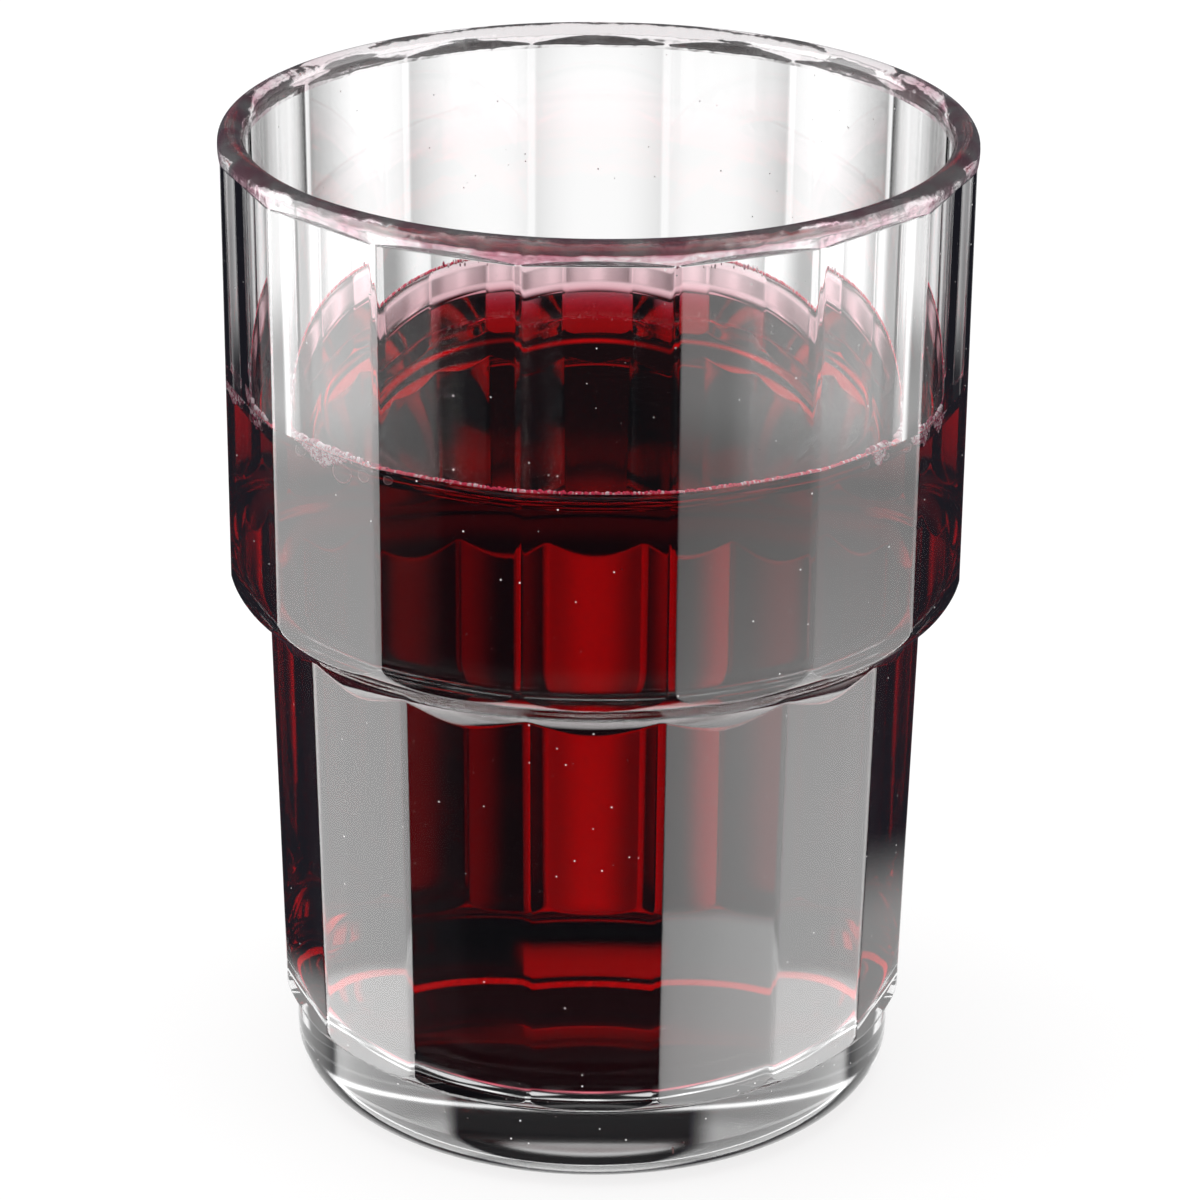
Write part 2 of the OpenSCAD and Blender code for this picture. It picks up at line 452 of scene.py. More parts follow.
def turned_mesh(name, angles, profiles):
    """A closed mesh from one profile per column; the first and last points lie on the axis."""
    inner = profiles[:, 1:-1]
    xs = inner[..., 0] * np.sin(angles)[:, None]
    ys = -inner[..., 0] * np.cos(angles)[:, None]
    points = np.stack([xs, ys, inner[..., 1]], axis=-1).reshape(-1, 3)
    ends = np.array([[0, 0, profiles[0, 0, 1]], [0, 0, profiles[0, -1, 1]]])
    count = len(angles)
    span = inner.shape[1]
    faces = []
    for i in range(count):
        a = i * span
        b = (i + 1) % count * span
        faces += [(a + k, a + k + 1, b + k + 1, b + k) for k in range(span - 1)]
        faces.append((a, b, count * span))
        faces.append((a + span - 1, count * span + 1, b + span - 1))
    piece = add_piece(name, np.vstack([points, ends]).tolist(), faces)
    skin = bmesh.new()
    skin.from_mesh(piece.data)
    bmesh.ops.recalc_face_normals(skin, faces=skin.faces)
    skin.to_mesh(piece.data)
    skin.free()
    return piece


angles, turns = column_turns()
print("columns round the glass:", len(angles))

# %% [markdown]
# ## Tumbler
#
# The glass is one closed skin that runs up the inside from the middle of the floor, over the lip
# and down the outside to the middle of the base. A Solidify modifier would give an even wall, but
# this wall is thick at the ridges and the base and thin on the flats, and that is what bends the
# light.

# %% Tumbler
upward = inside_rows[::-1]
tumbler_columns = np.stack([joined(upward, outside_profile(turn)) for turn in turns])
tumbler = turned_mesh("tumbler_glass", angles, tumbler_columns)
print("tumbler:", len(tumbler.data.vertices), "points")

# %% [markdown]
# ## The edge of the juice
#
# At the front the juice climbs the wall in a meniscus, the curve that its surface tension draws.
# At the back it has run down and left a thick film, which looks pink because it is thin. The free
# curve has a formula, and the film is two arcs and two lines. Both are drawn through the same
# number of points, so that one can pass into the other round the glass.

# %% Edge of the juice
GAP = 0.02 * MM
JUICE_COLUMNS = 384
SURFACE_LENGTH = 2.45 * MM
MENISCUS_FOOT = 0.04 * MM
MENISCUS_POINTS = 40
EDGE_REACH = 6 * MM
EDGE_POINTS = 30
FILM_T = 0.9 * MM
FILM_CORNER_R = 0.7 * MM
FILM_TOP_R = 0.7 * MM
FILM_LEAN = 3
FILM_ARC_STEPS = 10
FILM_LINE_STEPS = 6


def spaced(rows, count):
    """The same curve through a number of points at equal distances."""
    steps = np.linalg.norm(np.diff(rows, axis=0), axis=1)
    along = np.concatenate([[0], np.cumsum(steps)])
    wanted = np.linspace(0, along[-1], count)
    return np.column_stack([np.interp(wanted, along, rows[:, i]) for i in (0, 1)])


def meniscus_edge(edge_r):
    """The edge of the juice's surface where it climbs the wall in a free curve."""
    full = 2 * SURFACE_LENGTH
    z = np.geomspace(MENISCUS_FOOT, MENISCUS_H, MENISCUS_POINTS)
    fall = np.arccosh(full / z) - np.arccosh(full / MENISCUS_H)
    bow = np.sqrt(1 - (z / full) ** 2) - np.sqrt(1 - (MENISCUS_H / full) ** 2)
    x = SURFACE_LENGTH * fall - full * bow
    curve = np.column_stack([edge_r - x, JUICE_LEVEL + z])
    kept = curve[x < EDGE_REACH]
    return spaced(np.vstack([[edge_r - EDGE_REACH, JUICE_LEVEL], kept]), EDGE_POINTS)


def film_edge(edge_r):
    """The edge of the juice's surface where a film clings to the wall."""
    corner_r = edge_r - FILM_T - FILM_CORNER_R
    corner_z = JUICE_LEVEL + FILM_CORNER_R
    corner = arc(corner_r, corner_z, FILM_CORNER_R, -90, -FILM_LEAN, FILM_ARC_STEPS)
    crest_z = CONTACT_Z - FILM_TOP_R
    crest = arc(edge_r, crest_z, FILM_TOP_R, 180 - FILM_LEAN, 90, FILM_ARC_STEPS)
    flat = line((edge_r - EDGE_REACH, JUICE_LEVEL), corner[0], FILM_LINE_STEPS)
    climb = line(corner[-1], crest[0], FILM_LINE_STEPS)
    return spaced(joined(flat, corner, climb, crest), EDGE_POINTS)


juice_edge_r = bowl_wall(CONTACT_Z) - GAP
print("juice edge at radius", round(juice_edge_r / MM, 2), "mm")

# %% [markdown]
# ## Juice
#
# The juice is made as two pieces: the body, which only soaks up light, and a thin skin on top that
# bends it. One closed piece with one index would need the glass to end where the juice begins,
# and any gap there would mirror. The skin keeps the body's sides free to touch the glass with no
# false reflection. Small waves in the film keep it from looking machined.

# %% Juice
FILM_TURNS = (75, 115)
FILM_WAVE = 0.28 * MM
FILM_RIPPLES = (9, 17, 31, 52)
LEVEL_STEPS = 8


def juice_tops(angles):
    """Radius and height across the juice's surface, for each column."""
    front = meniscus_edge(juice_edge_r)
    back = film_edge(juice_edge_r)
    level = line((0, JUICE_LEVEL), front[0], LEVEL_STEPS)
    turns = np.degrees(np.arccos(np.cos(angles)))
    share = np.clip((turns - FILM_TURNS[0]) / (FILM_TURNS[1] - FILM_TURNS[0]), 0, 1)
    share = (share * share * (3 - 2 * share))[:, None, None]
    edges = front + (back - front) * share
    wave = sum(np.sin(angles * n + n * n) / n**0.5 for n in FILM_RIPPLES) * share[:, 0, 0]
    climbed = (edges[..., 1] - JUICE_LEVEL) / MENISCUS_H
    edges[..., 1] += FILM_WAVE * wave[:, None] * climbed * (1 - climbed)
    levels = np.tile(level[:-1], (len(angles), 1, 1))
    return np.concatenate([levels, edges], axis=1)


def sunk(tops, depth):
    """The same surface, moved into the juice by a depth."""
    way = np.gradient(tops, axis=1)
    way = way / np.linalg.norm(way, axis=2)[..., None]
    moved = tops + np.stack([way[..., 1], -way[..., 0]], axis=-1) * depth
    moved[:, 0] = tops[:, 0] - (0, depth)
    moved[:, -1] = tops[:, -1] - (0, depth)
    return moved


def juice_side():
    """Radius and height of the wetted bowl, from the juice's edge to the middle of the floor."""
    rows = inside_rows[contact_row:].copy()
    rows[:, 0] = np.maximum(rows[:, 0] - GAP, 0)
    rows[:, 1] += np.where(rows[:, 1] < FLOOR_Z + FLOOR_R, GAP, 0)
    rows[0, 1] = CONTACT_Z - 2 * GAP
    return np.tile(rows, (JUICE_COLUMNS, 1, 1))


round_angles = np.linspace(0, 2 * np.pi, JUICE_COLUMNS, endpoint=False)
top_rows = juice_tops(round_angles)
body_rows = np.concatenate([sunk(top_rows, 2 * GAP)[:, :-1], juice_side()], axis=1)
juice_body = turned_mesh("juice_body", round_angles, body_rows)
skin_rows = np.concatenate([top_rows, sunk(top_rows, GAP)[:, ::-1]], axis=1)
juice_skin = turned_mesh("juice_surface", round_angles, skin_rows)
print("juice body and skin:", len(juice_body.data.vertices), len(juice_skin.data.vertices))

# %% [markdown]
# ## Bubbles
#
# A few clear bubbles hang in the juice at the wall. Each is a ball, and many balls make one mesh:
# one pattern of corners is moved and scaled for every ball at once, which is far quicker than
# adding balls one by one.

# %% Bubbles
BUBBLE_PLACES = (
    (-76, 0.36), (-70, 0.44), (-65, 0.38), (-54, 0.55), (-50, 0.48), (-44, 1.05),
    (-38.5, 0.6), (-34.5, 0.4), (47, 0.4), (52, 0.36), (58, 0.44), (63, 0.38),
)
BUBBLE_FILM = 0.08 * MM
BUBBLE_SINK_MM = 0.5
BUBBLE_DETAIL = 3


def add_balls(name, balls, detail):
    """One mesh of many balls, each given by its middle and its radius."""
    pattern = bmesh.new()
    bmesh.ops.create_icosphere(pattern, subdivisions=detail, radius=1)
    corners = np.array([corner.co for corner in pattern.verts])
    faces = np.array([[corner.index for corner in face.verts] for face in pattern.faces])
    pattern.free()
    middles = np.array([middle for middle, _ in balls])
    radii = np.array([radius for _, radius in balls])
    points = middles[:, None, :] + corners[None, :, :] * radii[:, None, None]
    starts = np.arange(len(balls)) * len(corners)
    all_faces = faces[None, :, :] + starts[:, None, None]
    return add_piece(name, points.reshape(-1, 3), all_faces.reshape(-1, 3))


def at_wall(degrees, depth, z):
    """A point inside the bowl, at an angle from the front and a depth from the wall."""
    radius = bowl_wall(z) - depth
    turn = math.radians(degrees)
    return Vector((radius * math.sin(turn), -radius * math.cos(turn), z))


def bubble_balls():
    """The larger bubbles, each just under the juice's edge."""
    balls = []
    for turn, radius in BUBBLE_PLACES:
        z = CONTACT_Z - (BUBBLE_SINK_MM + radius) * MM
        balls.append((at_wall(turn, radius * MM + BUBBLE_FILM, z), radius * MM))
    return balls


bubbles = add_balls("edge_bubbles", bubble_balls(), BUBBLE_DETAIL)
print("bubbles:", len(BUBBLE_PLACES))

# %% [markdown]
# ## Froth and bead
#
# Fine froth lies along the juice's edge in patches to the left and right, and a bead of the finest
# bubbles lines the whole edge. Froth is only bubbles again, too small and too many to place by
# hand, so a seeded random generator strews them round chosen places. Each patch has its angle, its
# spread in degrees and its number of bubbles.

# %% Froth and bead
FROTH_PATCHES = (
    (-80, 10, 300), (-67, 5, 150), (-47.5, 8, 640),
    (50, 2.5, 120), (61, 4, 220), (68, 4, 200), (180, 40, 60),
)
FROTH_RADII_MM = (0.09, 0.28, 0.12)
FROTH_REACH_MM = 1.8
FROTH_LEAST = 0.25
FROTH_CREST = 0.35 * MM
FROTH_SINK = 1.2
FROTH_FILM = 0.03 * MM
BEAD_STEP = 0.25
BEAD_RADII_MM = (0.1, 0.2, 0.14)
BEAD_RISE_MM = (0.05, 0.03)
BEAD_SWAY = (0, 0.1)
BEAD_FILM = 0.02 * MM
FINE_DETAIL = 2
chance = random.Random(7)


def froth_balls():
    """Fine bubbles that pile up at the juice's edge, most of them just under it."""
    balls = []
    for middle, spread, count in FROTH_PATCHES:
        for _ in range(count):
            radius = chance.triangular(*FROTH_RADII_MM) * MM
            turn = chance.gauss(middle, spread / 2)
            away = abs(turn - middle) / spread
            reach = max(FROTH_LEAST, 1 - away) * FROTH_REACH_MM * MM
            z = CONTACT_Z + FROTH_CREST - chance.random() ** FROTH_SINK * reach
            balls.append((at_wall(turn, radius + FROTH_FILM, z), radius))
    return balls


def bead_balls():
    """The finest bubbles, which line the whole edge of the juice as a thin bead."""
    balls = []
    for turn in np.arange(-180, 180, BEAD_STEP):
        radius = chance.triangular(*BEAD_RADII_MM) * MM
        z = CONTACT_Z + chance.gauss(*BEAD_RISE_MM) * MM
        own_turn = turn + chance.gauss(*BEAD_SWAY)
        balls.append((at_wall(own_turn, radius + BEAD_FILM, z), radius))
    return balls


froth = add_balls("edge_froth", froth_balls(), FINE_DETAIL)
bead = add_balls("edge_bead", bead_balls(), FINE_DETAIL)
print("froth and bead points:", len(froth.data.vertices), len(bead.data.vertices))

# %% [markdown]
# ## Glass and juice as finishes
#
# Clear glass is a Principled shader with full transmission. Where the juice wets it, the ratio of
# the two indices counts, and not that of glass to air. The juice's colour is absorption inside
# its volume, so that thin places are bright red and thick ones almost black. A glass that has
# been handled also carries a few pale specks. A Voronoi texture gives every small cell a place
# and a random number, which picks the cells that hold one.

# %% Clear finishes
GLASS_IOR = 1.52
JUICE_IOR = 1.345
SAME_IOR = 1.0
ABSORPTION_COLOUR = (0.949, 0.02, 0.2, 1)
ABSORPTION_DENSITY = 505
WHITE = (1, 1, 1, 1)
WET_HAZE = 0.08
FILM_HAZE = 0.25
DUST_COLOUR = (0.9, 0.88, 0.88, 1)
DUST_CELLS = 1300
DUST_SIZE = (0.12, 0.08)
DUST_SHARE = (0.93, 0.95)
DUST_MORE = 0.7
DUST_SIDE = (9 * MM, 15 * MM, 21 * MM, 24 * MM)
DUST_HEIGHTS = (6 * MM, 8 * MM, 11 * MM, 15 * MM)


def dusted(board, glass):
    """A clear surface with a few pale specks, more of them low on the right."""
    place = board.add("ShaderNodeTexCoord", None, None, "Object")
    x = board.add("ShaderNodeSeparateXYZ", None, {0: place}, "X")
    cells = board.add("ShaderNodeTexVoronoi", None, {"Vector": place, "Scale": DUST_CELLS})
    picked = board.add("ShaderNodeSeparateColor", None, {0: cells.beside("Color")})
    many = band(x, DUST_SIDE) * band(x.beside("Z"), DUST_HEIGHTS) * DUST_MORE
    speck = ramp(cells, *DUST_SIZE) * ramp(picked + many, *DUST_SHARE)
    pale = board.add("ShaderNodeBsdfDiffuse", None, {"Color": DUST_COLOUR})
    return board.add("ShaderNodeMixShader", None, {0: speck, 1: glass, 2: pale})


def clear_finish(name, ior, absorbs=False, roughness=0, dust=False):
    """A clear material that bends light by a given ratio of indices."""
    material = bpy.data.materials.new(name)
    board = Board(material)
    clear = {"Base Color": WHITE, "Roughness": roughness, "IOR": ior, "Transmission Weight": 1}
    glass = board.add("ShaderNodeBsdfPrincipled", None, clear)
    ends = {"Surface": dusted(board, glass) if dust else glass}
    if absorbs:
        stain = {"Color": ABSORPTION_COLOUR, "Density": ABSORPTION_DENSITY}
        ends["Volume"] = board.add("ShaderNodeVolumeAbsorption", None, stain)
    board.add("ShaderNodeOutputMaterial", None, ends)
    return material


dry_glass = clear_finish("dry_glass", GLASS_IOR, dust=True)
wet_glass = clear_finish("wet_glass", GLASS_IOR / JUICE_IOR, roughness=WET_HAZE)
juice_stain = clear_finish("juice_stain", SAME_IOR, absorbs=True)
juice_open = clear_finish("juice_open_surface", JUICE_IOR)
juice_under = clear_finish("juice_under_surface", SAME_IOR)
juice_film = clear_finish("juice_film", JUICE_IOR, roughness=FILM_HAZE)
print("ratio of indices from juice to glass:", round(GLASS_IOR / JUICE_IOR, 3))

# %% [markdown]
# ## The lip's finish
#
# The lip is fire-polished, which leaves small waves in it, and it pipes red light up from the
# juice. Following that light would take very many bounces. A noise texture stands in for it: it
# tilts the surface through a Bump node and tints the front of the lip in faint streaks of painted
# pink, painted light in place of the red light that the lip pipes.

# %% Lip finish
LIP_HAZE = 0.1
# The lip's pink colour, and the share of it that shows as a matt tint, are painted light in place of
# red light piped up from the juice.
LIP_CLEAR = 0.95
LIP_CLEAR_AND_PAINTED_PINK = ((0.98, 0.95, 0.96, 1), (0.74, 0.38, 0.48, 1))
LIP_PAINTED_STREAK_MARKS = (0.36, 0.64)
LIP_PAINT_FADE_BACK = (26 * MM, 6 * MM)
LIP_WAVE_AND_STREAK_NOISE = {"Scale": 260, "Detail": 3}
LIP_TILT = {"Strength": 0.6, "Distance": 0.4 * MM}
MIX_A = 6
MIX_B = 7
MIX_COLOUR = 2


def mixed_colour(board, share, first, second):
    """A colour between two others, by a share."""
    sockets = {0: share, MIX_A: first, MIX_B: second}
    return board.add("ShaderNodeMix", {"data_type": "RGBA"}, sockets, MIX_COLOUR)


def lip_finish():
    """The lip's glass, with the small waves that fire polishing leaves in it, and painted pink
    streaks at its front.
    """
    material = bpy.data.materials.new("lip_glass")
    board = Board(material)
    place = board.add("ShaderNodeTexCoord", None, None, "Object")
    y = board.add("ShaderNodeSeparateXYZ", None, {0: place}, "Y")
    wave_and_streak_noise = board.add("ShaderNodeTexNoise", None, {"Vector": place, **LIP_WAVE_AND_STREAK_NOISE})
    # Painted light: pink streaks at the front of the lip, fading towards the back.
    painted_pink_streaks = ramp(wave_and_streak_noise, *LIP_PAINTED_STREAK_MARKS) * ramp(y, *LIP_PAINT_FADE_BACK)
    clear = {
        "Base Color": mixed_colour(board, painted_pink_streaks, *LIP_CLEAR_AND_PAINTED_PINK),
        "Roughness": LIP_HAZE,
        "IOR": GLASS_IOR,
        "Transmission Weight": LIP_CLEAR,
        "Normal": board.add("ShaderNodeBump", None, {"Height": wave_and_streak_noise, **LIP_TILT}),
    }
    glass = board.add("ShaderNodeBsdfPrincipled", None, clear)
    board.add("ShaderNodeOutputMaterial", None, {"Surface": glass})
    return material


lip_glass = lip_finish()
print("finish of the lip:", lip_glass.name)

# %% [markdown]
# ## Bubbles as a finish
#
# A large bubble is clear in its middle and has a pale rim, a painted reflection where its edge is
# turned away. Layer Weight tells how far a surface is turned away, and mixes a clear shader with a
# wet one that holds the painted rim. Froth is too fine for that, so each of its balls gets one
# colour between a dark crimson and a pale painted glint, picked by the random number that Blender
# gives to each loose part of a mesh. The bead's red is brighter than the juice's own, a painted
# glow of light through the edge of the juice.

# %% Bubble finishes
# The bubble's pale rim colour is a painted reflection at its edge.
BUBBLE_RIM_GLINT_COLOUR = (1, 0.92, 0.94, 1)
BUBBLE_RIM_GLINT_MARKS = (0.45, 0.85, 0.06, 1)
BUBBLE_HAZE = 0.05
FROTH_HAZE = 0.12
WATER_IOR = 1.35
EVEN_BLEND = 0.5
# Painted glints: the pale froth colour. The dark one is the juice's crimson.
FROTH_FILM_AND_GLINT_COLOURS = ((0.4, 0.04, 0.1, 1), (1, 0.86, 0.9, 1))
FROTH_GLINT_MARKS = (0.2, 0.9)
# The bead's bright red is partly painted glow, standing in for light through the edge of the juice;
# its pale colour is painted glints.
BEAD_GLOW_AND_GLINT_COLOURS = ((0.9, 0.06, 0.13, 1), (1, 0.75, 0.8, 1))
BEAD_GLINT_MARKS = (0.5, 1)


def clear_bubble_painted_rim_finish():
    """A large bubble: clear in the middle, with a pale rim that is a painted reflection at its edge.
    """
    material = bpy.data.materials.new("bubble_film")
    board = Board(material)
    facing = board.add("ShaderNodeLayerWeight", None, {"Blend": EVEN_BLEND}, "Facing")
    clear = board.add("ShaderNodeBsdfTransparent", None, {"Color": WHITE})
    wet = {"Base Color": BUBBLE_RIM_GLINT_COLOUR, "Roughness": BUBBLE_HAZE, "IOR": WATER_IOR}
    rim_glint = board.add("ShaderNodeBsdfPrincipled", None, wet)
    # Painted reflection: a pale rim where the surface turns away.
    share = ramp(facing, *BUBBLE_RIM_GLINT_MARKS)
    surface = board.add("ShaderNodeMixShader", None, {0: share, 1: clear, 2: rim_glint})
    board.add("ShaderNodeOutputMaterial", None, {"Surface": surface})
    return material


def film_and_glint_finish(name, film_and_glint_colours, marks):
    """Balls of thin juice film, each with its own colour between a dark one and a pale painted
    glint.
    """
    material = bpy.data.materials.new(name)
    board = Board(material)
    own = board.add("ShaderNodeNewGeometry", None, None, "Random Per Island")
    # Pale balls are painted glints.
    colour = mixed_colour(board, ramp(own, *marks), *film_and_glint_colours)
    wet = {"Base Color": colour, "Roughness": FROTH_HAZE, "IOR": WATER_IOR}
    ball = board.add("ShaderNodeBsdfPrincipled", None, wet)
    board.add("ShaderNodeOutputMaterial", None, {"Surface": ball})
    return material


bubble_film = clear_bubble_painted_rim_finish()
froth_film_and_glints = film_and_glint_finish("froth_film_and_glints", FROTH_FILM_AND_GLINT_COLOURS, FROTH_GLINT_MARKS)
bead_film_glow_and_glints = film_and_glint_finish("bead_film_glow_and_glints", BEAD_GLOW_AND_GLINT_COLOURS, BEAD_GLINT_MARKS)
print("finishes of the bubbles:", bubble_film.name, froth_film_and_glints.name, bead_film_glow_and_glints.name)

# %% [markdown]
# ## Laying the finishes on
#
# The glass is one mesh with three finishes: dry, wetted by juice, and the lip. The juice's skin has
# three as well: its open top, its underside and the film at the back. The faces of a turned mesh
# come column by column, so the row of a face follows from its number, and no face is picked by
# hand. Each piece then rides on the frame's one body.


# %% Lay the finishes on
def paint_rows(piece, rest, start, start_rows, columns):
    """Gives the first rows of every column one finish, and all the others another."""
    piece.data.materials.append(rest)
    piece.data.materials.append(start)
    rows = len(piece.data.polygons) // columns
    for face in piece.data.polygons:
        row = face.index % rows
        # The triangle at the start, on the axis, comes next to last in each column.
        starts = row < start_rows or row == rows - 2
        face.material_index = 1 if starts else 0


wet_rows = len(inside_rows) - 1 - contact_row
paint_rows(tumbler, dry_glass, wet_glass, wet_rows - 1, len(angles))
tumbler.data.materials.append(lip_glass)
for face in tumbler.data.polygons:
    if face.center.z > HEIGHT - LIP_BAND:
        face.material_index = 2
paint_rows(juice_skin, juice_under, juice_open, top_rows.shape[1] - 2, JUICE_COLUMNS)
juice_skin.data.materials.append(juice_film)
for face in juice_skin.data.polygons:
    clings = face.center.z > JUICE_LEVEL + FILM_CORNER_R / 2 and face.center.y > 0
    if face.material_index == 1 and clings:
        face.material_index = 2
juice_body.data.materials.append(juice_stain)
bubbles.data.materials.append(bubble_film)
froth.data.materials.append(froth_film_and_glints)
bead.data.materials.append(bead_film_glow_and_glints)
wet_faces = sum(face.material_index == 1 for face in tumbler.data.polygons)
print("wetted faces:", wet_faces, "of", len(tumbler.data.polygons))

# %% Ride on the frame
standing_for = (
    (tumbler, "tumbler", "clear_glass"),
    (juice_body, "juice", "red_juice"),
    (bubbles, "bubbles", "bubble_film"),
)
added = ((juice_skin, "red_juice"), (froth, "bubble_film"), (bead, "bubble_film"))
for piece, node, slot in standing_for:
    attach(piece, "root")
    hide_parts(node)
for piece, slot in added:
    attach(piece, "root")
print("pieces on the frame:", len(standing_for) + len(added))

# %% [markdown]
# ## The studio behind the glass
#
# Glass shows its surroundings and little else. An image of a studio could light it, but a world
# made of soft steps can be fitted part by part. Light through the glass comes mostly from behind
# it: a bright sweep with a narrow core, a dim sky over it, and almost nothing at the flanks, which
# gives the juice its dark edges. Turns are in degrees from straight behind the glass, and heights
# are the Z of a direction.

# %% What bent rays see
SWEEP_LIGHT = (0.33, 1.04)
SWEEP_TURNS = (17, 1.5)
SWEEP_HEIGHTS = (-0.368, -0.35)
WING_LIGHT = 0.25
WING_TURNS = (25, 40)
CORE_LIGHT = (0.3, 0.74)
CORE_TURNS = (9.5, 6)
CORE_SIDES = (7, -7)
CORE_HEIGHTS = (-0.66, -0.52, -0.29, -0.235)
PEAK_LIGHT = 0.62
PEAK_TURNS = (3.4, 0.6)
OUTER_LIGHT = 0.2
OUTER_TURNS = (10.5, 13, 14, 19)
OUTER_HEIGHTS = (-0.47, -0.44)
LOW_LIGHT = 0.75
LOW_TURNS = (12, 17)
LOW_HEIGHTS = (-0.9, -0.87, -0.7, -0.64)
FLANK_LIGHT = 0.01
SKY_LIGHT = (0.1, 0.015)
SKY_HEIGHTS = (0.2, 0.27)
SKY_START = (-0.2, 0)
NEAR_LIGHT = 0.9
NEAR_TURNS = (95, 115)
NEAR_HEIGHTS = (-0.9, -0.82, -0.54, -0.43)
TABLE_LIGHT = 0.5
TABLE_HEIGHTS = (-0.985, -0.975, -0.9587, -0.9567)
GLOW_LIGHT = 1.1
GLOW_HEIGHTS = (-0.92, -0.7, 0.6, 0.75)


def sweep_light(x):
    """The sweep behind the glass, with its core, and the dim sky over it."""
    z = x.beside("Z")
    side_turn = x.maths("ARCTAN2", x, x.beside("Y")) * math.degrees(1)
    back_turn = x.maths("ABSOLUTE", side_turn)
    core = ramp(back_turn, *CORE_TURNS) * ramp(side_turn, *CORE_SIDES, *CORE_LIGHT)
    peak = ramp(back_turn, *PEAK_TURNS) * PEAK_LIGHT
    outer = band(back_turn, OUTER_TURNS) * ramp(z, *OUTER_HEIGHTS) * OUTER_LIGHT
    wings = ramp(back_turn, *WING_TURNS) * WING_LIGHT
    wide = ramp(back_turn, *SWEEP_TURNS, *SWEEP_LIGHT) + wings
    sweep = blend(core + peak + outer, wide, ramp(z, *SWEEP_HEIGHTS))
    low = ramp(back_turn, *LOW_TURNS) * band(z, LOW_HEIGHTS) * LOW_LIGHT
    near = ramp(back_turn, *NEAR_TURNS) * band(z, NEAR_HEIGHTS) * NEAR_LIGHT
    sky = ramp(z, *SKY_HEIGHTS, *SKY_LIGHT)
    behind = sweep * band(z, CORE_HEIGHTS) + low + FLANK_LIGHT
    return blend(behind, sky, ramp(z, *SKY_START)) + near


def through_light(x, boxes):
    """Brightness of a direction for light that passed through the glass."""
    z = x.beside("Z")
    sides = boxes * band(z, GLOW_HEIGHTS) * GLOW_LIGHT
    return sweep_light(x) + sides + band(z, TABLE_HEIGHTS) * TABLE_LIGHT


print("light behind the glass planned")

# %% [markdown]
# ## The studio round the glass
#
# Two tall soft boxes stand left and right, a little in front. The flats mirror them as grey bands,
# and each band ends sharply where its box ends. The boxes are much brighter than white, because
# glass mirrors only a few hundredths of the light that meets it head on. Turns are in degrees from
# the front.

# %% What mirrored rays see
LEFT_BOX = (-122, -116, -60, -52)
RIGHT_BOX = (37.5, 51, 114, 122)
BOX_TOPS = (0.75, 0.6)
BOX_FEET = (-0.98, -0.9, 0.3, 1)
LEFT_LIGHT = (4.9, 3.8)
RIGHT_LIGHT = (4.7, 1.3)
LIGHT_HEIGHTS = (-0.46, -0.3)
ABOVE_LIGHT = 2.5
ABOVE_HEIGHTS = (-0.368, -0.35)
FOOT_LIGHT = 3
FOOT_HEIGHTS = (-0.54, -0.52, -0.4855, -0.482)
FRONT_LIGHT = 4.4
FRONT_HEIGHTS = (-0.93, -0.98)
DARK_LIGHT = 0.045


def box_places(x):
    """Two masks, of the left and the right soft box."""
    front_turn = x.maths("ARCTAN2", x, -1 * x.beside("Y")) * math.degrees(1)
    return band(front_turn, LEFT_BOX), band(front_turn, RIGHT_BOX)


def mirrored_light(z, left, right):
    """Brightness of a direction for light that bounced off the glass."""
    boxes = left * ramp(z, *LIGHT_HEIGHTS, *LEFT_LIGHT)
    boxes = boxes + right * ramp(z, *LIGHT_HEIGHTS, *RIGHT_LIGHT)
    boxes = boxes + (left + right) * ramp(z, *ABOVE_HEIGHTS) * ABOVE_LIGHT
    boxes = boxes + (left + right) * band(z, FOOT_HEIGHTS) * FOOT_LIGHT
    boxes = boxes * ramp(z, *BOX_TOPS) * ramp(z, *BOX_FEET)
    return blend(boxes, FRONT_LIGHT, ramp(z, *FRONT_HEIGHTS)) + DARK_LIGHT


print("soft boxes planned")

# %% [markdown]
# ## World
#
# Light Path tells which kind of ray asks for light. The camera sees plain white, bent rays see the
# light behind the glass, and mirrored rays see the soft boxes. Matt surfaces get an even, plain
# light. What is dark in a mirror is a little blue, as shade is in a white room.

# %% World
PLAIN_LIGHT = 0.6
COOL_DARK = 1.4


def light_studio():
    """The world: white for the camera, a studio for the glass, plain light for the rest."""
    world = bpy.data.worlds.new("studio")
    bpy.context.scene.world = world
    board = Board(world)
    way = board.add("ShaderNodeTexCoord", None, None, "Generated")
    x = board.add("ShaderNodeSeparateXYZ", None, {0: way}, "X")
    left, right = box_places(x)
    through = through_light(x, left + right)
    mirrored = mirrored_light(x.beside("Z"), left, right)
    camera = board.add("ShaderNodeLightPath", None, None, "Is Camera Ray")
    bent = camera.beside("Is Transmission Ray")
    matt = x.maths("MINIMUM", camera.beside("Diffuse Depth"), 1)
    seen = blend(blend(mirrored, through, bent), PLAIN_LIGHT, matt)
    level = blend(seen, 1, camera)
    untinted = x.maths("MAXIMUM", bent, x.maths("MAXIMUM", camera, matt))
    blue = blend(ramp(mirrored, 0, 1, COOL_DARK, 1), 1, untinted)
    colour = board.add("ShaderNodeCombineColor", None, {"Red": 1, "Green": 1, "Blue": blue})
    glow = board.add("ShaderNodeBackground", None, {"Color": colour, "Strength": level})
    board.add("ShaderNodeOutputWorld", None, {"Surface": glow})
    return world


studio = light_studio()
print("studio lit with", len(studio.node_tree.nodes), "nodes")

